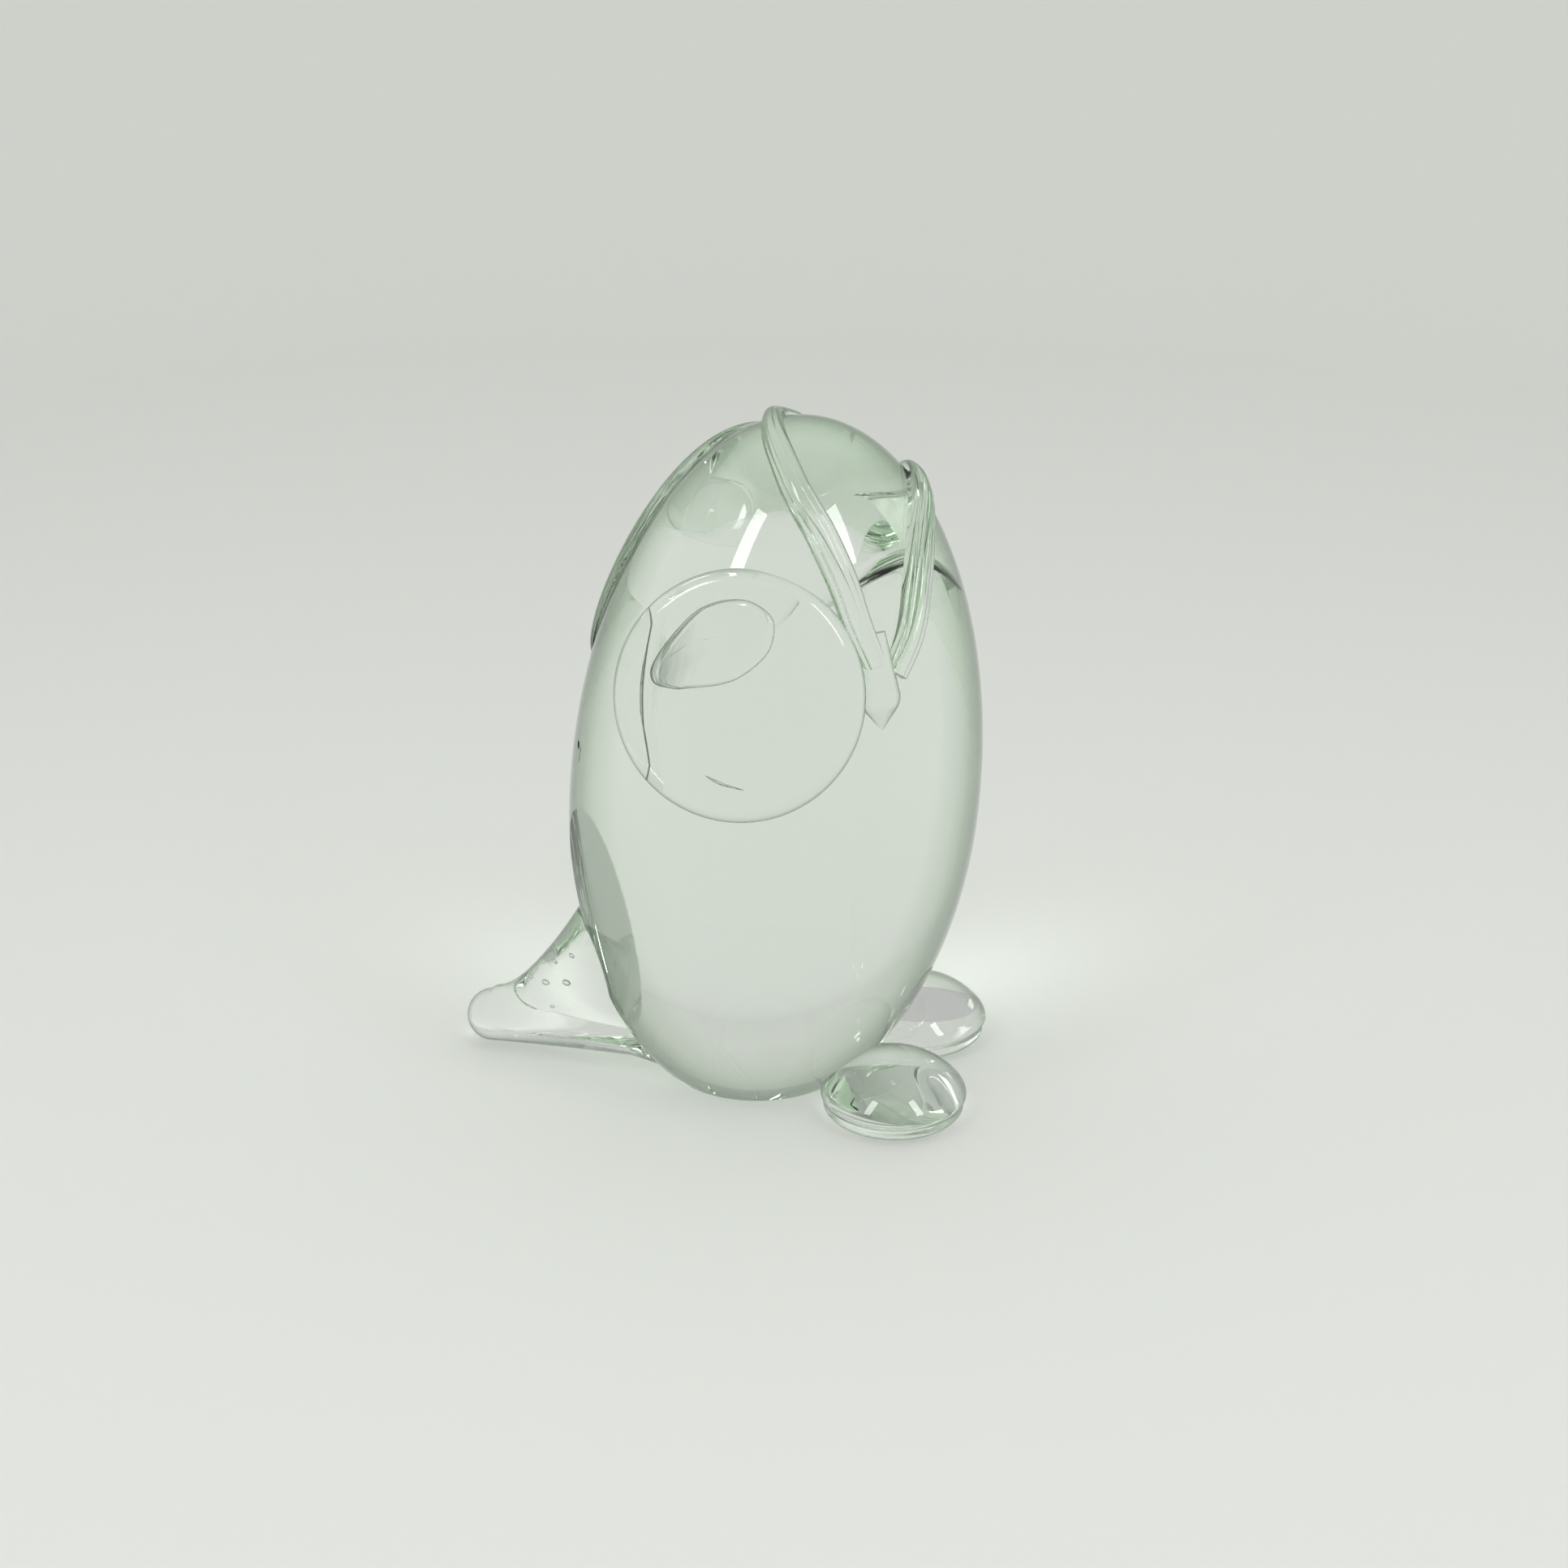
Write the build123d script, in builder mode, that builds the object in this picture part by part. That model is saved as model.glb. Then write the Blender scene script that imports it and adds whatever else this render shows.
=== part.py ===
import os
from math import cos, radians, sin, sqrt, tan
from build123d import *

# Sizes in millimetres and degrees, azimuth turns from the front (-Y) towards +X
belly_radius = 33.0
belly_height = 49.0
crown_rise = 62.6
base_radius = 15.4
lean_angle = 5.4
keel_angle = 75.0

tail_reach = 50.0
tail_radius = 4.5
tail_clearance = 0.4
tail_azimuth = 187.0
tail_taper = 0.34
tail_flare = 32.0
tail_spread = 0.25
tail_widen = 55.0
tail_root = 31.0
tail_web = 11.5
tail_web_start = 8.0
tail_sections = 12

foot_radius = 11.9
foot_rim = 3.2
foot_dome = 51.0
foot_ahead = 25.1
foot_gap = 3.4
foot_azimuth = 4.5

flipper_radius = 18.9
flipper_rim = 2.6
flipper_dome = 4.0
flipper_rise = 27.8
right_flipper_sink = 4.4
right_flipper_tip = -5.0
right_flipper_azimuth = -90.5
left_flipper_azimuth = 141.6
left_flipper_rise = 33.6
left_flipper_across = 22.3
left_flipper_upward = 29.5
left_flipper_depth = 1.4
pocket_radius = 24.0
pocket_depth = 0.6
pocket_azimuth = -98.0
pocket_rise = 35.0

beak_width = 3.3
beak_length = 15.0
beak_point = 38.0
beak_taper = 8.0
beak_rise = 29.0
beak_azimuth = -48.3
beak_sink = 0.5

brow_width = 2.5
brow_lift = 3.2
brow_root = 1.6
brow_start = 0.75
brow_end = 0.38
brow_sections = 24

# The body is two half ovals that meet at the belly, on one leaning axis
upright = Vector(0, 0, 1)
front = Vector(0, -1, 0)
keel_drop = belly_height / sqrt(1 - (base_radius / belly_radius) ** 2)
body_line = (upright + front * tan(radians(lean_angle))).normalized()
base_shift = belly_height * tan(radians(lean_angle)) * (1 - (belly_radius / keel_drop) ** 2)
belly_center = front * base_shift + upright * belly_height


def on_axis(height):
    # point on the leaning axis at a height over the floor
    return belly_center + body_line * ((height - belly_height) / body_line.Z)


def oval(width, rise, angle):
    # point on an oval
    return Vector(width * cos(radians(angle)), rise * sin(radians(angle)))


def heading(azimuth):
    # level direction at an azimuth from the front
    return Vector(sin(radians(azimuth)), -cos(radians(azimuth)), 0)


def egg(depth):
    # leaning oval body, with a coat of glass all over it
    width = belly_radius + depth
    drop = keel_drop + depth
    rise = crown_rise + depth
    radial = front - body_line * front.dot(body_line)
    with BuildPart() as shape:
        with BuildSketch(Plane(belly_center, x_dir=radial, z_dir=radial.cross(body_line))):
            with BuildLine():
                keel = Spline(
                    oval(width, drop, -keel_angle),
                    oval(width, drop, -keel_angle / 2),
                    oval(width, drop, 0),
                    tangents=(oval(width, drop, 90 - keel_angle), (0, 1)),
                )
                crown = Spline(
                    keel @ 1,
                    oval(width, rise, 30),
                    oval(width, rise, 60),
                    oval(width, rise, 90),
                    tangents=((0, 1), (-1, 0)),
                )
                Polyline(crown @ 1, (0, (keel @ 0).Y), keel @ 0)
            make_face()
        revolve(axis=Axis(belly_center, body_line))
    return shape.part


def skin(line, height):
    # plane on the outside of the body in a level direction, x level, z out of the glass
    hits = body.part.find_intersection_points(Axis(on_axis(height), line))
    point, normal = max(hits, key=lambda hit: hit[0].dot(line))
    normal = normal if normal.dot(line) > 0 else -normal
    return Plane(point, x_dir=upright.cross(normal), z_dir=normal)


def button(seat, radius, rim, dome):
    # round pad of glass on a seat plane, with a rolled rim that runs on into a dome
    with BuildPart() as pad:
        with BuildSketch(Plane(seat.origin, x_dir=seat.x_dir, z_dir=-seat.y_dir)):
            with BuildLine():
                under = Line((0, 0), (radius - rim, 0))
                edge = JernArc(under @ 1, (1, 0), rim, 180 - dome)
                over = JernArc(edge @ 1, edge % 1, (edge @ 1).X / sin(radians(dome)), dome)
                Line(over @ 1, under @ 0)
            make_face()
        revolve(axis=Axis(seat.origin, seat.z_dir))
    return pad.part


def foot(side):
    # domed pad standing on the floor
    aside = heading(foot_azimuth + 90) * side * (foot_radius + foot_gap / 2)
    place = heading(foot_azimuth) * foot_ahead + aside
    return button(Plane(place), foot_radius, foot_rim, foot_dome)


def flipper(azimuth, rise, sink, tip):
    # flat button pressed into the side, its top edge tipped out, so that its ends stand clear of the round body
    seat = Plane(skin(heading(azimuth), belly_height + rise).location * Location((0, 0, 0), (tip, 0, 0)))
    return button(seat.offset(-sink), flipper_radius, flipper_rim, flipper_dome)


def brow(stations):
    # three-ribbed trail laid over the head, each station is a turn from the beak and a share of the crown rise
    track = Spline(
        *[skin(heading(beak_azimuth + turn), belly_height + crown_rise * share).origin for turn, share in stations]
    )
    with BuildPart() as trail:
        for number in range(brow_sections + 1):
            step = number / brow_sections
            size = 1 - (1 - brow_start) * (1 - step) ** 4 - (1 - brow_end) * step**4
            half = brow_width * size
            lift = brow_lift * size
            point = track @ step
            seat = skin((point - on_axis(point.Z)).normalized(), point.Z)
            with BuildSketch(Plane(seat.origin, x_dir=seat.z_dir, z_dir=track % step)):
                with BuildLine():
                    near = ThreePointArc((0, half), (lift * 0.7, half * 0.8), (lift * 0.82, half * 0.33))
                    ridge = ThreePointArc(near @ 1, (lift, 0), (lift * 0.82, -half * 0.33))
                    far = ThreePointArc(ridge @ 1, (lift * 0.7, -half * 0.8), (0, -half))
                    Polyline(far @ 1, (-brow_root, 0), near @ 0)
                make_face()
        loft(ruled=True)
    return trail.part


# Solid body with a flat base
gather = egg(0)
with BuildPart() as body:
    add(gather)
    with Locations((0, 0, -belly_height)):
        Box(4 * belly_radius, 4 * belly_radius, 2 * belly_height, mode=Mode.SUBTRACT)

# Drawn lobe at the back, its belly level over the floor and its root flaring out over the body
tail_line = heading(tail_azimuth)
tail_end = tail_reach - tail_radius
with BuildPart() as tail:
    for number in range(tail_sections + 1):
        along = tail_root * number / tail_sections
        thick = tail_radius + tail_taper * along + along**2 / (2 * tail_flare)
        center = tail_line * (tail_end - along) + upright * (tail_clearance + thick)
        with BuildSketch(Plane(center, x_dir=upright, z_dir=-tail_line)):
            Ellipse(thick, tail_radius + tail_spread * along + along**2 / (2 * tail_widen))
    loft(ruled=True)
    # low web that spreads the root along the floor
    for number in range(tail_sections + 1):
        share = number / tail_sections
        along = tail_web_start + (tail_root - tail_web_start) * share
        center = tail_line * (tail_end - along) + upright * (tail_clearance + tail_radius)
        with BuildSketch(Plane(center, x_dir=upright, z_dir=-tail_line)):
            Ellipse(tail_radius, tail_radius + (tail_web - tail_radius) * share**2)
    loft(ruled=True)
    with Locations(tail_line * tail_end + upright * (tail_clearance + tail_radius)):
        Sphere(tail_radius)
    add(body.part, mode=Mode.SUBTRACT)

# Feet
right_pad = foot(-1)
with BuildPart() as right_foot:
    add(right_pad)
    add(body.part, mode=Mode.SUBTRACT)

left_pad = foot(1)
with BuildPart() as left_foot:
    add(left_pad)
    add(body.part, mode=Mode.SUBTRACT)

# Flippers, the right one with an air pocket left under it
pocket_seat = skin(heading(pocket_azimuth), belly_height + pocket_rise).offset(pocket_depth - pocket_radius)
disc = flipper(right_flipper_azimuth, flipper_rise, right_flipper_sink, right_flipper_tip)
with BuildPart() as right_flipper:
    add(disc)
    add(body.part, mode=Mode.SUBTRACT)
    with Locations(pocket_seat):
        Sphere(pocket_radius, mode=Mode.SUBTRACT)

# The left flipper has sunk on to the body all round and lies over the shoulder as a thin oval coat
left_seat = skin(heading(left_flipper_azimuth), belly_height + left_flipper_rise)
coat = egg(left_flipper_depth)
with BuildPart() as left_flipper:
    add(coat)
    with BuildSketch(left_seat.offset(-left_flipper_across)):
        Ellipse(left_flipper_across, left_flipper_upward)
    extrude(amount=2 * left_flipper_across, mode=Mode.INTERSECT)
    add(body.part, mode=Mode.SUBTRACT)

# Pointed drop for the beak on the turned face
beak_seat = skin(heading(beak_azimuth), belly_height + beak_rise).offset(-beak_sink)
with BuildPart() as beak:
    with BuildSketch(beak_seat):
        with BuildLine():
            tip = Vector(0, -beak_length / 2)
            cheek = PolarLine(tip, beak_width / tan(radians(beak_point)), 90 - beak_point)
            bulge = JernArc(cheek @ 1, cheek % 1, beak_width, beak_point + beak_taper)
            top = PolarLine(bulge @ 1, beak_length / 2 - (bulge @ 1).Y, 90 + beak_taper, length_mode=LengthMode.VERTICAL)
            Polyline(top @ 1, (0, beak_length / 2), tip)
        make_face()
    revolve(axis=Axis(beak_seat.origin, beak_seat.y_dir))
    add(body.part, mode=Mode.SUBTRACT)
    add(right_flipper.part, mode=Mode.SUBTRACT)

# Brow trails from the beak over the head
right_stations = (
    (-1.5, 0.505),
    (-6.7, 0.6),
    (-11.4, 0.695),
    (-18.4, 0.785),
    (-34.4, 0.89),
    (-71.4, 0.974),
    (-156.4, 0.984),
    (-198.4, 0.965),
)
left_stations = (
    (5.2, 0.475),
    (12.3, 0.56),
    (19.3, 0.66),
    (29, 0.745),
    (53, 0.828),
    (73, 0.852),
    (88, 0.85),
)
right_trail = brow(right_stations)
with BuildPart() as right_brow:
    add(right_trail)
    for piece in (body, right_flipper, left_flipper, beak):
        add(piece.part, mode=Mode.SUBTRACT)

left_trail = brow(left_stations)
with BuildPart() as left_brow:
    add(left_trail)
    for piece in (body, beak):
        add(piece.part, mode=Mode.SUBTRACT)

os.makedirs("parts", exist_ok=True)
body.part.label = "body"
tail.part.label = "tail"
right_foot.part.label = "right_foot"
left_foot.part.label = "left_foot"
right_flipper.part.label = "right_flipper"
left_flipper.part.label = "left_flipper"
right_brow.part.label = "right_brow"
left_brow.part.label = "left_brow"
beak.part.label = "beak"
export_step(body.part, "parts/body.step")
export_step(tail.part, "parts/tail.step")
export_step(right_foot.part, "parts/right_foot.step")
export_step(left_foot.part, "parts/left_foot.step")
export_step(right_flipper.part, "parts/right_flipper.step")
export_step(left_flipper.part, "parts/left_flipper.step")
export_step(right_brow.part, "parts/right_brow.step")
export_step(left_brow.part, "parts/left_brow.step")
export_step(beak.part, "parts/beak.step")
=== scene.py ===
from math import cos, pi, radians, sin, sqrt, tan
import bmesh
import bpy
from mathutils import Matrix, Vector
from mathutils.bvhtree import BVHTree


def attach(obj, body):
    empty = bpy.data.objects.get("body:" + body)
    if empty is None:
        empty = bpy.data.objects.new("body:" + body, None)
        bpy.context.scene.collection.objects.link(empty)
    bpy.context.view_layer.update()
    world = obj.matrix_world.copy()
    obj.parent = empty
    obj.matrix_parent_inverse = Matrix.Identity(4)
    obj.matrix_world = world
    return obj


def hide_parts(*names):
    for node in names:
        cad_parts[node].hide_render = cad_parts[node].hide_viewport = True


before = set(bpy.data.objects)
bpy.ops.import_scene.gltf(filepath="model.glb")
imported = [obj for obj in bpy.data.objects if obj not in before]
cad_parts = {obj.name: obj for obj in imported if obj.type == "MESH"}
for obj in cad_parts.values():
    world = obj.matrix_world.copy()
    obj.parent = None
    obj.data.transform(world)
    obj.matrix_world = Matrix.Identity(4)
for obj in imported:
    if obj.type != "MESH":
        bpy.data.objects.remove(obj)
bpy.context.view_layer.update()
scene = bpy.context.scene
up = Vector((0, 0, 1))
front = Vector((0, -1, 0))
shells = {}  # finished outer skins, in millimetres, one bmesh for each piece
hollows = {}  # closed air shells that go inside a piece
print("frame loaded")

# body, an egg of clear glass that leans to the front
bodyGlass = dict(bellyRadius=33.0, bellyHeight=49.0, crownRise=62.6, baseRadius=15.4, lean=5.4, around=352, rows=240, baseRoll=3.0, baseSlope=46.0, flatAzimuth=221.1, flatLift=-9.1, flatReach=22.0, flatSwell=0.06)
bellyRadius, bellyHeight, crownRise = bodyGlass["bellyRadius"], bodyGlass["bellyHeight"], bodyGlass["crownRise"]
keelDrop = bellyHeight / sqrt(1 - (bodyGlass["baseRadius"] / bellyRadius) ** 2)
bodyLine = (up + front * tan(radians(bodyGlass["lean"]))).normalized()
bellyCenter = front * (bellyHeight * tan(radians(bodyGlass["lean"])) * (1 - (bellyRadius / keelDrop) ** 2)) + up * bellyHeight


def heading(azimuth):  # level direction, turned from the front towards +X
    return Vector((sin(radians(azimuth)), -cos(radians(azimuth)), 0))


def onAxis(height):
    return bellyCenter + bodyLine * ((height - bellyHeight) / bodyLine.z)


def ovalRise(along):
    return crownRise if along > 0 else keelDrop


def skinNormal(point):
    off = point - bellyCenter
    along = off.dot(bodyLine)
    return ((off - bodyLine * along) / bellyRadius**2 + bodyLine * along / ovalRise(along) ** 2).normalized()


def outAlong(start, line):  # where a line leaves the body
    off = start - bellyCenter
    along, slope = off.dot(bodyLine), line.dot(bodyLine)
    rise = ovalRise(along)
    a = (1 - slope**2) / bellyRadius**2 + slope**2 / rise**2
    b = (off.dot(line) - along * slope) / bellyRadius**2 + along * slope / rise**2
    c = (off.length_squared - along**2) / bellyRadius**2 + along**2 / rise**2 - 1
    return start + line * ((-b + sqrt(max(b * b - a * c, 0))) / a)


def skinAt(line, height):  # where a level line from the axis leaves the body
    return outAlong(onAxis(height), line)


def dropToSkin(point):  # moves a point along its own spoke on to the body
    off = point - bellyCenter
    along = off.dot(bodyLine)
    reach = sqrt((off.length_squared - along**2) / bellyRadius**2 + along**2 / ovalRise(along) ** 2)
    return bellyCenter + off / reach


def seatOn(point, normal):  # x level, z out of the glass
    side = up.cross(normal).normalized()
    turn = Matrix((side, normal.cross(side), normal)).transposed().to_4x4()
    return Matrix.Translation(point) @ turn


def smoothLine(points, steps):  # smooth run through given points
    ends = [points[0] * 2 - points[1]] + points + [points[-1] * 2 - points[-2]]
    runs = len(points) - 1
    line = []
    for n in range(steps + 1):
        at = min(n * runs / steps, runs - 1e-9)
        k, t = int(at), at % 1
        p, q, r, s = ends[k : k + 4]
        line.append((q * 2 + (r - p) * t + (p * 2 - q * 5 + r * 4 - s) * t * t + (q * 3 - p - r * 3 + s) * t**3) / 2)
    return line


def makeBody():
    bm = bmesh.new()
    bmesh.ops.create_uvsphere(bm, u_segments=bodyGlass["around"], v_segments=bodyGlass["rows"], radius=1)
    upper = [v for v in bm.verts if v.co.z > 0]
    lower = [v for v in bm.verts if v.co.z <= 0]
    bmesh.ops.scale(bm, vec=(bellyRadius, bellyRadius, crownRise), verts=upper)
    bmesh.ops.scale(bm, vec=(bellyRadius, bellyRadius, keelDrop), verts=lower)
    lean = up.rotation_difference(bodyLine).to_matrix().to_4x4()
    bmesh.ops.transform(bm, matrix=Matrix.Translation(bellyCenter) @ lean, verts=bm.verts)
    lift = radians(bodyGlass["flatLift"])
    out, reach = heading(bodyGlass["flatAzimuth"]) * cos(lift) + up * sin(lift), bodyGlass["flatReach"]
    bmesh.ops.bisect_plane(bm, geom=bm.verts[:] + bm.edges[:] + bm.faces[:], plane_co=out * reach, plane_no=out)
    for v in bm.verts:  # flat pressed on the side beside the tail
        v.co -= out * (max(v.co.dot(out) - reach, 0) * (1 - bodyGlass["flatSwell"]))
    roll, slope = bodyGlass["baseRoll"], radians(bodyGlass["baseSlope"])
    cut = roll * (1 - sin(slope))
    bmesh.ops.bisect_plane(bm, geom=bm.verts[:] + bm.edges[:] + bm.faces[:], plane_co=(0, 0, cut), plane_no=(0, 0, -1), clear_outer=True)
    edges = [e for e in bm.edges if e.is_boundary]
    ring = list({v for e in edges for v in e.verts})
    middle = sum((v.co for v in ring), Vector()) / len(ring)
    reach = sum((v.co - middle).length for v in ring) / len(ring)
    for n in range(1, 13):  # rolls the foot of the body under to the flat it stands on
        angle = slope + (pi / 2 - slope) * n / 12
        grown = bmesh.ops.extrude_edge_only(bm, edges=edges)["geom"]
        ring = [g for g in grown if isinstance(g, bmesh.types.BMVert)]
        edges = [e for e in grown if isinstance(e, bmesh.types.BMEdge) and e.is_boundary]
        wide = reach - roll * (cos(slope) - cos(angle))
        mean = sum((v.co - middle).xy.length for v in ring) / len(ring)
        bmesh.ops.scale(bm, vec=(wide / mean, wide / mean, 1), space=Matrix.Translation(-middle), verts=ring)
        for v in ring:
            v.co.z = roll * (1 - sin(angle))
    bmesh.ops.contextual_create(bm, geom=edges)
    bmesh.ops.recalc_face_normals(bm, faces=bm.faces)
    return bm


shells["body"] = makeBody()
print("body gathered", len(shells["body"].verts))


def spinPad(radius, rim, dome, steps, rows=20):  # round pad, its rim rolled over into a dome
    bm = bmesh.new()
    middle = bm.verts.new((0, 0, 0))
    edge = bm.verts.new((radius - rim, 0, 0))
    bm.edges.new((middle, edge))
    roll = bmesh.ops.spin(bm, geom=[edge], cent=(radius - rim, 0, rim), axis=(0, -1, 0), angle=radians(180 - dome), steps=28)
    last = next(g for g in roll["geom_last"] if isinstance(g, bmesh.types.BMVert))
    height = last.co.x / tan(radians(dome))
    bmesh.ops.spin(bm, geom=[last], cent=(0, 0, last.co.z - height), axis=(0, -1, 0), angle=radians(dome), steps=rows)
    bmesh.ops.spin(bm, geom=bm.verts[:] + bm.edges[:], cent=(0, 0, 0), axis=(0, 0, 1), angle=2 * pi, steps=steps, use_merge=True)
    bmesh.ops.remove_doubles(bm, verts=bm.verts, dist=0.0005)
    bmesh.ops.recalc_face_normals(bm, faces=bm.faces)
    return bm


# feet, two domed pads at the front
footPad = dict(radius=11.9, rim=3.2, dome=51.0, ahead=25.1, gap=3.4, azimuth=4.5, around=128, groove=0.55, grooveHeight=2.5, grooveWidth=0.55)
for name, side in (("right_foot", -1), ("left_foot", 1)):
    bm = spinPad(footPad["radius"], footPad["rim"], footPad["dome"], footPad["around"])
    for v in bm.verts:  # groove round the rim, where the pad was pressed down
        press = footPad["groove"] * 2.0 ** -(((v.co.z - footPad["grooveHeight"]) / footPad["grooveWidth"]) ** 2)
        if v.co.xy.length > footPad["radius"] - footPad["rim"]:
            v.co -= v.co.xy.to_3d().normalized() * press
    aside = heading(footPad["azimuth"] + 90) * side * (footPad["radius"] + footPad["gap"] / 2)
    bmesh.ops.translate(bm, vec=heading(footPad["azimuth"]) * footPad["ahead"] + aside, verts=bm.verts)
    shells[name] = bm
print("feet pressed")

# right flipper, a flat button of glass pressed on the side of the body
flipperDisc = dict(radius=18.9, rim=2.6, dome=4.0, azimuth=-90.5, rise=27.8, sink=4.4, tip=-3.0, yaw=6.0, around=192)


def flipperSeat():
    point = skinAt(heading(flipperDisc["azimuth"]), bellyHeight + flipperDisc["rise"])
    return seatOn(point, skinNormal(point))


shells["right_flipper"] = spinPad(flipperDisc["radius"], flipperDisc["rim"], flipperDisc["dome"], flipperDisc["around"])
tipped = flipperSeat() @ Matrix.Rotation(radians(flipperDisc["tip"]), 4, "X") @ Matrix.Rotation(radians(flipperDisc["yaw"]), 4, "Y") @ Matrix.Translation((0, 0, -flipperDisc["sink"]))
bmesh.ops.transform(shells["right_flipper"], matrix=tipped, verts=shells["right_flipper"].verts)

# left flipper, a softer pad that has sunk on to the body and lies over the shoulder
flipperCoat = dict(across=22.3, upward=29.5, rim=1.1, dome=1.2, azimuth=141.6, rise=33.6, sink=0.8, melt=1.5, meltFrom=7.0, meltOver=12.0, around=240, rows=60)


def layCoat():
    bm = spinPad(flipperCoat["across"], flipperCoat["rim"], flipperCoat["dome"], flipperCoat["around"], flipperCoat["rows"])
    bmesh.ops.scale(bm, vec=(1, flipperCoat["upward"] / flipperCoat["across"], 1), verts=bm.verts)
    point = skinAt(heading(flipperCoat["azimuth"]), bellyHeight + flipperCoat["rise"])
    normal = skinNormal(point)
    seat = seatOn(point, normal)
    for v in bm.verts:
        low = min(max((-v.co.y - flipperCoat["meltFrom"]) / flipperCoat["meltOver"], 0), 1)
        sink = flipperCoat["sink"] + flipperCoat["melt"] * low * low * (3 - 2 * low)  # its lower end has melted in
        foot = outAlong(seat @ Vector((v.co.x, v.co.y, 0)), normal)
        v.co = foot + skinNormal(foot) * (v.co.z - sink)
    bmesh.ops.recalc_face_normals(bm, faces=bm.faces)
    return bm


shells["left_flipper"] = layCoat()
print("flippers pressed")

# tail, a drawn lobe behind the base
tailLobe = dict(reach=50.0, radius=4.5, clearance=0.4, azimuth=187.0, taper=0.34, flare=32.0, spread=0.25, widen=55.0, root=31.0, web=11.5, webStart=8.0, tipRings=16, rings=60, around=144, heart=(6.0, 24.0), fin=0.7, finger=0.14)


def ovalReach(lift, wide, half, angle):  # from a point on an oval's upright line to its edge
    a = (cos(angle) / wide) ** 2 + (sin(angle) / half) ** 2
    b = lift * sin(angle) / half**2
    return (-b + sqrt(max(b * b - a * ((lift / half) ** 2 - 1), 0))) / a


def drawTail():
    bm = bmesh.new()
    line = heading(tailLobe["azimuth"])
    radius, root, start = tailLobe["radius"], tailLobe["root"], tailLobe["webStart"]
    across = line.cross(up)
    middle = up * (tailLobe["clearance"] + radius)
    seats = []  # distance from the end ball, half height, half width, half width of the low web
    for n in range(tailLobe["tipRings"]):
        a = radians(1.5 + 88.5 * n / tailLobe["tipRings"])
        seats.append((-radius * cos(a), radius * sin(a), radius * sin(a), 0))
    for n in range(tailLobe["rings"] + 1):
        along = root * n / tailLobe["rings"]
        blend = along**2 / (along + 3.0) * 1.08  # keeps the run on from the end ball smooth
        web = radius * 0.8 + (tailLobe["web"] - radius * 0.8) * (max(along - start, 0) / (root - start)) ** 2
        seats.append((along, radius + tailLobe["taper"] * blend + along**2 / (2 * tailLobe["flare"]), radius + tailLobe["spread"] * blend + along**2 / (2 * tailLobe["widen"]), web))
    ring = bmesh.ops.create_circle(bm, segments=tailLobe["around"], radius=1, cap_ends=True)["verts"]
    edges = bm.edges[:]
    for n, (along, half, wide, web) in enumerate(seats):
        if n:
            grown = bmesh.ops.extrude_edge_only(bm, edges=edges)["geom"]
            ring = [g for g in grown if isinstance(g, bmesh.types.BMVert)]
            edges = [e for e in grown if isinstance(e, bmesh.types.BMEdge) and e.is_boundary]
        center = line * (tailLobe["reach"] - radius - along) + middle
        for k, v in enumerate(ring):
            a = 2 * pi * k / tailLobe["around"]
            reach = ovalReach(radius - max(half, radius), wide, half, a)
            if along > 0 and sin(a) > 0:  # a round finger with a thinner fin over it
                fin = 1 - (1 - tailLobe["fin"]) * min(along / 12, 1)
                reach = ovalReach(radius - max(half, radius), wide * fin, half, a)
                reach = (reach**12 + (radius + tailLobe["finger"] * along) ** 12) ** (1 / 12)
            if web > 0:
                low = ovalReach(0, web, radius, a)
                reach = (reach**8 + low**8) ** 0.125 if sin(a) > 0 else max(reach, low)
            v.co = center + across * (reach * cos(a)) + up * (reach * sin(a))
    heart = line * tailLobe["heart"][0] + up * tailLobe["heart"][1]
    for share in (0.8, 0.75, 0.66, 0.5, 0.3):  # closes the root deep inside the body
        grown = bmesh.ops.extrude_edge_only(bm, edges=edges)["geom"]
        edges = [e for e in grown if isinstance(e, bmesh.types.BMEdge) and e.is_boundary]
        for v in {v for e in edges for v in e.verts}:
            v.co = heart + (v.co - heart) * share
    bmesh.ops.contextual_create(bm, geom=edges)
    bmesh.ops.recalc_face_normals(bm, faces=bm.faces)
    return bm


shells["tail"] = drawTail()
print("tail drawn")

# beak, a pointed drop on the turned face
beakDrop = dict(width=3.3, length=15.0, point=38.0, taper=8.0, rise=29.0, azimuth=-48.3, sink=0.5, around=96)


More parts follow.
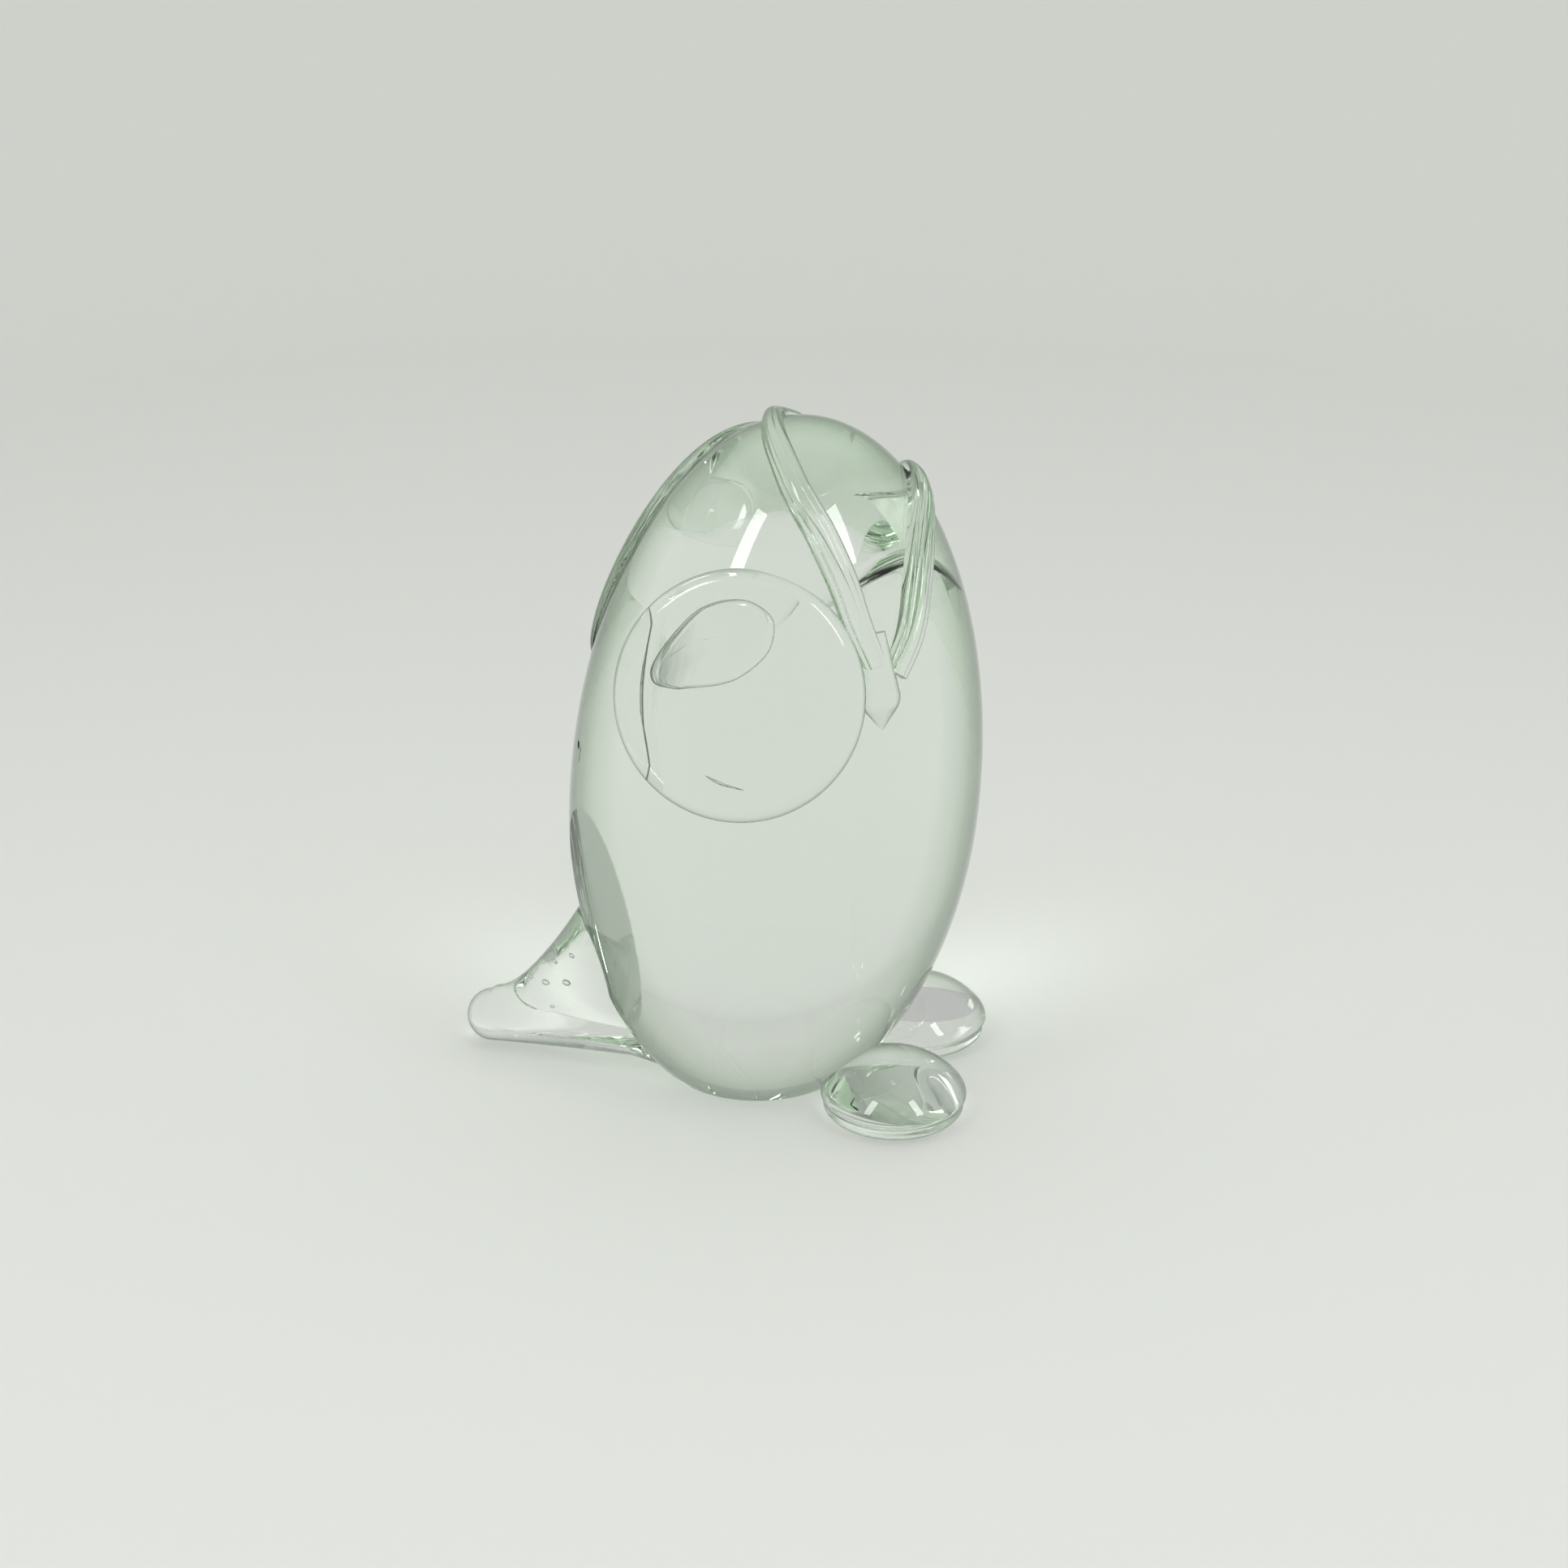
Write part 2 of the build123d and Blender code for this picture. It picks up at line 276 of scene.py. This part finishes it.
def spinBeak():
    bm = bmesh.new()
    half, width, point, taper = beakDrop["length"] / 2, beakDrop["width"], radians(beakDrop["point"]), radians(beakDrop["taper"])
    run = width / tan(point)
    tip = bm.verts.new((0, -half, 0))
    cheek = bm.verts.new((run * sin(point), -half + run * cos(point), 0))
    bm.edges.new((tip, cheek))
    center = Vector((cheek.co.x - width * cos(point), cheek.co.y + width * sin(point), 0))
    bulge = bmesh.ops.spin(bm, geom=[cheek], cent=center, axis=(0, 0, 1), angle=point + taper, steps=20)
    top = next(g for g in bulge["geom_last"] if isinstance(g, bmesh.types.BMVert))
    shoulder = bm.verts.new((top.co.x - (half - top.co.y) * tan(taper), half, 0))
    bm.edges.new((top, shoulder))
    crown = bm.verts.new((0, half, 0))
    bm.edges.new((shoulder, crown))
    long = [e for e in bm.edges if e.calc_length() > 1]
    bmesh.ops.subdivide_edges(bm, edges=long, cuts=8)
    bmesh.ops.spin(bm, geom=bm.verts[:] + bm.edges[:], cent=(0, 0, 0), axis=(0, 1, 0), angle=2 * pi, steps=beakDrop["around"], use_merge=True)
    bmesh.ops.remove_doubles(bm, verts=bm.verts, dist=0.0005)
    bmesh.ops.recalc_face_normals(bm, faces=bm.faces)
    seat = skinAt(heading(beakDrop["azimuth"]), bellyHeight + beakDrop["rise"])
    bmesh.ops.transform(bm, matrix=seatOn(seat, skinNormal(seat)) @ Matrix.Translation((0, 0, -beakDrop["sink"])), verts=bm.verts)
    return bm


shells["beak"] = spinBeak()
print("beak spun")

# brows, ribbed trails of glass laid from the beak over the head
browTrail = dict(half=2.5, lift=3.2, root=1.6, start=0.75, end=0.14, ribs=5, ribDepth=0.09, around=96, steps=150)
browStations = {  # turn from the beak, share of the crown rise
    "right_brow": [(-1.5, 0.505), (-6.7, 0.6), (-11.4, 0.695), (-18.4, 0.785), (-34.4, 0.89), (-71.4, 0.974), (-156.4, 0.984), (-198.4, 0.965)],
    "left_brow": [(5.2, 0.475), (12.3, 0.56), (19.3, 0.66), (29, 0.745), (53, 0.828), (73, 0.852), (88, 0.85)],
}


def layTrail(stations):
    bm = bmesh.new()
    spots = [skinAt(heading(beakDrop["azimuth"] + turn), bellyHeight + crownRise * share) for turn, share in stations]
    line = [dropToSkin(p) for p in smoothLine(spots, browTrail["steps"])]
    count = browTrail["around"]
    ring = bmesh.ops.create_circle(bm, segments=count, radius=1, cap_ends=True)["verts"]
    edges = [e for e in bm.edges]
    for n, point in enumerate(line):
        if n:
            grown = bmesh.ops.extrude_edge_only(bm, edges=edges)["geom"]
            ring = [g for g in grown if isinstance(g, bmesh.types.BMVert)]
            edges = [e for e in grown if isinstance(e, bmesh.types.BMEdge) and all(v in ring for v in e.verts)]
        step = n / browTrail["steps"]
        size = 1 - (1 - browTrail["start"]) * (1 - step) ** 4 - (1 - browTrail["end"]) * step**4
        normal = skinNormal(point)
        ahead = (line[min(n + 1, len(line) - 1)] - line[max(n - 1, 0)]).normalized()
        aside = normal.cross(ahead).normalized()
        for k, v in enumerate(ring):
            a = 2 * pi * k / count
            rise, wide = sin(a), cos(a)
            if rise > 0:
                rib = 1 - browTrail["ribDepth"] * (1 - abs(cos(browTrail["ribs"] * a / 2))) ** 2
                v.co = point + (normal * (browTrail["lift"] * rise**0.8) + aside * (browTrail["half"] * wide)) * (size * rib)
            else:
                v.co = point + normal * (browTrail["root"] * rise) + aside * (browTrail["half"] * size * wide)
    bmesh.ops.contextual_create(bm, geom=edges)
    bmesh.ops.recalc_face_normals(bm, faces=bm.faces)
    return bm


for name, stations in browStations.items():
    shells[name] = layTrail(stations)
print("brows laid")

# air trapped in the right flipper, each outline drawn in the flipper's own plane
airPocket = dict(outline=[(-14.4, 6.2), (-8.8, 12.6), (-5.0, 14.8), (0.0, 15.4), (3.4, 14.0), (5.0, 11.8), (4.4, 7.4), (1.2, 3.6), (-2.4, 1.7), (-7.6, 1.1), (-10.4, 1.2), (-14.2, 2.7)], floor=0.05, depth=0.85, roll=0.13, around=120)
airCrescent = dict(outline=[(-13.6, 11.4), (-16.4, 7.6), (-17.9, 2.4), (-17.9, -3.0), (-16.3, -8.2), (-12.2, -13.4), (-13.6, -7.0), (-14.3, 0.0), (-14.0, 6.6)], floor=0.5, depth=2.2, roll=0.6, around=160)
airSliver = dict(outline=[(-3.9, -12.0), (-1.6, -13.2), (2.1, -13.7), (-0.8, -13.0)], floor=3.6, depth=0.9, roll=0.8, around=80)


def onSkin(spot, height):
    foot = dropToSkin(flipperSeat() @ spot)
    return foot + skinNormal(foot) * height


def inDisc(spot, height):
    return tipped @ (spot + up * height)


def trapAir(pocket, place):
    points = [Vector((x, y, 0)) for x, y in pocket["outline"]]
    count = pocket["around"]
    closed = points[-2:] + points + points[:3]
    wrap = smoothLine(closed, count * (len(closed) - 1) // len(points))
    skip = round(len(wrap) * 2 / (len(closed) - 1))
    wrap = wrap[skip : skip + count]
    middle = sum(wrap, Vector()) / count
    bm = bmesh.new()
    flat = 1 - pocket["roll"]
    turns = [pi * n / 14 for n in range(15)]
    rim = [(flat + pocket["roll"] * sin(a), (1 + cos(a)) / 2) for a in turns]  # rounded edge of the pocket
    shares = [(0.02, 1), (flat * 0.5, 1)] + rim + [(flat * 0.5, 0), (0.02, 0)]
    ring = bmesh.ops.create_circle(bm, segments=count, radius=1, cap_ends=True)["verts"]
    edges = [e for e in bm.edges]
    for n, (share, level) in enumerate(shares):
        if n:
            grown = bmesh.ops.extrude_edge_only(bm, edges=edges)["geom"]
            ring = [g for g in grown if isinstance(g, bmesh.types.BMVert)]
            edges = [e for e in grown if isinstance(e, bmesh.types.BMEdge) and all(v in ring for v in e.verts)]
        for k, v in enumerate(ring):
            v.co = place(middle + (wrap[k] - middle) * share, pocket["floor"] + pocket["depth"] * level)
    bmesh.ops.contextual_create(bm, geom=edges)
    bmesh.ops.recalc_face_normals(bm, faces=bm.faces)
    bmesh.ops.reverse_faces(bm, faces=bm.faces)  # the air is inside
    return bm


hollows["right_flipper"] = [trapAir(airPocket, onSkin), trapAir(airCrescent, inDisc), trapAir(airSliver, inDisc)]

# seeds in the root of the tail, each its reach behind the middle, side, height and radius
seeds = dict(places=[(35.0, -1.6, 12.6, 0.42), (32.6, 1.8, 14.6, 0.30), (31.0, -3.4, 14.0, 0.50), (29.4, 0.6, 17.0, 0.34), (34.0, -4.2, 9.6, 0.28), (37.4, 0.8, 11.4, 0.26)], stretch=1.6, around=24, rows=16)


def blowSeeds():
    line = heading(tailLobe["azimuth"])
    drawn = seatOn(Vector(), line)
    for back, side, height, radius in seeds["places"]:
        bm = bmesh.new()
        bmesh.ops.create_uvsphere(bm, u_segments=seeds["around"], v_segments=seeds["rows"], radius=radius)
        bmesh.ops.scale(bm, vec=(1, 1, seeds["stretch"]), verts=bm.verts)
        spot = line * back + line.cross(up) * side + up * height
        bmesh.ops.transform(bm, matrix=Matrix.Translation(spot) @ drawn, verts=bm.verts)
        bmesh.ops.reverse_faces(bm, faces=bm.faces)
        yield bm


hollows["tail"] = list(blowSeeds())
print("air trapped")

# clear glass, one material for each piece so that each keeps its own depth of tint
# edge is painted shade, a darker glass colour along the outlines
clearGlass = dict(through=0.87, airEdge=(0.25, 0.7), airShade=0.85, airShadeColour=(0.07, 0.10, 0.07), ior=1.5, roughness=0.0, tint=(0.42, 0.72, 0.40), depth=2.0, waveScale=55.0, waveDepth=0.00004, edge=[(0.40, (1, 1, 1)), (0.56, (0.66, 0.73, 0.65)), (0.68, (0.30, 0.37, 0.30)), (0.8, (0.10, 0.13, 0.10)), (1.0, (0.04, 0.05, 0.04))])


def glassFor(name):
    material = bpy.data.materials.new("clearGlass." + name)
    material.use_nodes = True
    nodes, links = material.node_tree.nodes, material.node_tree.links
    nodes.clear()
    out = nodes.new("ShaderNodeOutputMaterial")
    glass = nodes.new("ShaderNodeBsdfPrincipled")
    facing = nodes.new("ShaderNodeLayerWeight")
    edge = nodes.new("ShaderNodeValToRGB")  # painted shade: the glass colour darkens towards its outlines as the surface turns away from the camera
    steps = edge.color_ramp.elements
    for n, (place, colour) in enumerate(clearGlass["edge"]):
        step = steps[n] if n < 2 else steps.new(place)
        step.position = place
        step.color = (*colour, 1)
    links.new(facing.outputs["Facing"], edge.inputs[0])
    links.new(edge.outputs[0], glass.inputs["Base Color"])
    glass.inputs["Transmission Weight"].default_value = 1
    glass.inputs["IOR"].default_value = clearGlass["ior"]
    glass.inputs["Roughness"].default_value = clearGlass["roughness"]
    weld = nodes.new("ShaderNodeBsdfTransparent")  # no surface is left where two pieces have run together
    depth = nodes.new("ShaderNodeAttribute")
    depth.attribute_name = "weldDepth"
    inside = nodes.new("ShaderNodeMath")
    inside.operation = "LESS_THAN"
    inside.inputs[1].default_value = 0
    mix = nodes.new("ShaderNodeMixShader")
    links.new(depth.outputs["Fac"], inside.inputs[0])
    links.new(inside.outputs[0], mix.inputs[0])
    links.new(glass.outputs[0], mix.inputs[1])
    links.new(weld.outputs[0], mix.inputs[2])
    air = nodes.new("ShaderNodeAttribute")
    air.attribute_name = "airSkin"
    graze = nodes.new("ShaderNodeMapRange")  # painted shade: trapped air is drawn dark along its edges as its surface turns away from the camera
    graze.inputs["From Min"].default_value, graze.inputs["From Max"].default_value = clearGlass["airEdge"]
    graze.inputs["To Max"].default_value = clearGlass["airShade"]
    line = nodes.new("ShaderNodeMath")
    line.operation = "MULTIPLY"
    # painted shade colour for the outlines of the trapped air
    dark = nodes.new("ShaderNodeBsdfTransparent")
    dark.inputs["Color"].default_value = (*clearGlass["airShadeColour"], 1)
    lined = nodes.new("ShaderNodeMixShader")
    links.new(facing.outputs["Facing"], graze.inputs["Value"])
    links.new(graze.outputs["Result"], line.inputs[0])
    links.new(air.outputs["Fac"], line.inputs[1])
    links.new(line.outputs[0], lined.inputs[0])
    links.new(mix.outputs[0], lined.inputs[1])
    links.new(dark.outputs[0], lined.inputs[2])
    path = nodes.new("ShaderNodeLightPath")
    share = nodes.new("ShaderNodeMath")  # lamps shine on through the glass to the floor
    share.operation = "MULTIPLY"
    share.inputs[1].default_value = clearGlass["through"]
    links.new(path.outputs["Is Shadow Ray"], share.inputs[0])
    through = nodes.new("ShaderNodeBsdfTransparent")
    lit = nodes.new("ShaderNodeMixShader")
    links.new(share.outputs[0], lit.inputs[0])
    links.new(lined.outputs[0], lit.inputs[1])
    links.new(through.outputs[0], lit.inputs[2])
    tint = nodes.new("ShaderNodeVolumeAbsorption")
    tint.inputs["Color"].default_value = (*clearGlass["tint"], 1)
    tint.inputs["Density"].default_value = clearGlass["depth"]
    links.new(lit.outputs[0], out.inputs["Surface"])
    links.new(tint.outputs[0], out.inputs["Volume"])
    place = nodes.new("ShaderNodeTexCoord")
    wave = nodes.new("ShaderNodeTexNoise")
    wave.inputs["Scale"].default_value = clearGlass["waveScale"]
    wave.inputs["Detail"].default_value = 1
    bump = nodes.new("ShaderNodeBump")
    bump.inputs["Distance"].default_value = clearGlass["waveDepth"]
    links.new(place.outputs["Object"], wave.inputs["Vector"])
    links.new(wave.outputs["Fac"], bump.inputs["Height"])
    links.new(bump.outputs[0], glass.inputs["Normal"])
    return material


def weldDepths():  # how far each point is from the nearest other piece, less than nothing where it is inside
    trees = {name: BVHTree.FromBMesh(bm) for name, bm in shells.items()}
    boxes = {}
    for name, bm in shells.items():
        places = [v.co for v in bm.verts]
        boxes[name] = ([min(p[k] for p in places) - 1 for k in range(3)], [max(p[k] for p in places) + 1 for k in range(3)])
    for name, bm in shells.items():
        layer = bm.verts.layers.float.new("weldDepth")
        for v in bm.verts:
            nearest = 5.0
            for other, tree in trees.items():
                low, high = boxes[other]
                if other == name or not all(low[k] < v.co[k] < high[k] for k in range(3)):
                    continue
                spot, normal, face, gap = tree.find_nearest(v.co)
                nearest = min(nearest, gap if (v.co - spot).dot(normal) > 0 else -gap)
            v[layer] = nearest
    return trees


weldDepths()
print("welds measured")


def joinHollow(bm, hollow):
    layer = hollow.verts.layers.float.new("weldDepth")
    skin = hollow.verts.layers.float.new("airSkin")
    for v in hollow.verts:
        v[layer] = 5.0
        v[skin] = 1.0
    bm.verts.layers.float.get("airSkin") or bm.verts.layers.float.new("airSkin")
    mesh = bpy.data.meshes.new("air")
    hollow.to_mesh(mesh)
    hollow.free()
    bm.from_mesh(mesh)
    bpy.data.meshes.remove(mesh)


for name, bm in shells.items():
    for hollow in hollows.get(name, []):
        joinHollow(bm, hollow)
    bmesh.ops.scale(bm, vec=(0.001, 0.001, 0.001), verts=bm.verts)
    mesh = bpy.data.meshes.new(name)
    for f in bm.faces:
        f.smooth = True
    bm.to_mesh(mesh)
    bm.free()
    mesh.set_sharp_from_angle(angle=radians(50))
    mesh.materials.append(glassFor(name))
    piece = bpy.data.objects.new("glass_" + name, mesh)
    scene.collection.objects.link(piece)
    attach(piece, "root")
    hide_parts(name)
    print(piece.name, len(mesh.polygons))

# camera of the photograph
cameraSpot = dict(azimuth=-75.0, elevation=23.0, distance=0.426, field=33.0, target=(-0.0008, -0.0048, 0.051))
turn, tilt = radians(cameraSpot["azimuth"]), radians(cameraSpot["elevation"])
acrossView = Vector((cos(turn), sin(turn), 0))
awayView = Vector((-sin(turn), cos(turn), 0))
back = -awayView * cos(tilt) + up * sin(tilt)
camera = bpy.data.objects.new("camera", bpy.data.cameras.new("camera"))
camera.data.angle = radians(cameraSpot["field"])
camera.location = Vector(cameraSpot["target"]) + back * cameraSpot["distance"]
camera.rotation_euler = (-back).to_track_quat("-Z", "Y").to_euler()
camera.data.clip_start = 0.01
scene.collection.objects.link(camera)
scene.camera = camera

# floor and a round wall of one pale sheet, a hair under the glass
sweep = dict(drop=0.00006, start=0.50, bend=0.30, rise=0.15, around=96, colour=(0.80, 0.815, 0.785))


def hangSweep():
    bm = bmesh.new()
    middle = bm.verts.new((0, 0, 0))
    start = bm.verts.new((0, sweep["start"], 0))
    bm.edges.new((middle, start))
    bend = bmesh.ops.spin(bm, geom=[start], cent=(0, sweep["start"], sweep["bend"]), axis=(1, 0, 0), angle=pi / 2, steps=32)
    last = next(g for g in bend["geom_last"] if isinstance(g, bmesh.types.BMVert))
    top = bm.verts.new(last.co + up * sweep["rise"])
    bm.edges.new((last, top))
    bmesh.ops.spin(bm, geom=bm.verts[:] + bm.edges[:], cent=(0, 0, 0), axis=(0, 0, 1), angle=2 * pi, steps=sweep["around"], use_merge=True)
    bmesh.ops.remove_doubles(bm, verts=bm.verts, dist=1e-6)
    bmesh.ops.translate(bm, vec=(0, 0, -sweep["drop"]), verts=bm.verts)
    bmesh.ops.recalc_face_normals(bm, faces=bm.faces)
    mesh = bpy.data.meshes.new("sweep")
    for f in bm.faces:
        f.smooth = True
    bm.to_mesh(mesh)
    bm.free()
    sheet = bpy.data.objects.new("sweep", mesh)
    scene.collection.objects.link(sheet)
    paper = bpy.data.materials.new("palePaper")
    paper.use_nodes = True
    skin = paper.node_tree.nodes["Principled BSDF"]
    skin.inputs["Base Color"].default_value = (*sweep["colour"], 1)
    skin.inputs["Roughness"].default_value = 0.9
    skin.inputs["Specular IOR Level"].default_value = 0.1
    mesh.materials.append(paper)


hangSweep()

# two tall soft lamps beside the camera, and a wide fill overhead that lights the paper alone
lamps = dict(distance=0.7, wide=0.11, tall=0.30, glow=9.0, spots=[(-0.50, -0.46, 0.72), (0.51, -0.47, 0.72)])
for n, (side, away, high) in enumerate(lamps["spots"]):
    toLamp = (acrossView * side + awayView * away + up * high).normalized()
    light = bpy.data.lights.new("softLamp%d" % n, "AREA")
    light.shape = "RECTANGLE"
    light.size, light.size_y = lamps["wide"], lamps["tall"]
    light.energy = lamps["glow"] * pi * lamps["wide"] * lamps["tall"]
    lamp = bpy.data.objects.new(light.name, light)
    lamp.location = Vector((0, -0.004, 0.06)) + toLamp * lamps["distance"]
    lamp.rotation_euler = (-toLamp).to_track_quat("-Z", "Y").to_euler()
    scene.collection.objects.link(lamp)

overhead = dict(size=1.2, height=0.95, away=0.15, glow=0.46)
light = bpy.data.lights.new("overheadFill", "AREA")
light.shape = "SQUARE"
light.size = overhead["size"]
light.energy = overhead["glow"] * pi * overhead["size"] ** 2
lamp = bpy.data.objects.new(light.name, light)
lamp.location = awayView * overhead["away"] + up * overhead["height"]
lamp.visible_glossy = False
lamp.visible_transmission = False
scene.collection.objects.link(lamp)

room = dict(colour=(0.50, 0.51, 0.495))  # dim room over the wall
world = bpy.data.worlds.new("room")
scene.world = world
world.use_nodes = True
world.node_tree.nodes["Background"].inputs["Color"].default_value = (*room["colour"], 1)

scene.view_settings.view_transform = "Standard"
scene.cycles.max_bounces = 32
scene.cycles.transmission_bounces = 32
scene.cycles.glossy_bounces = 16
scene.cycles.transparent_max_bounces = 64
print("stage lit")
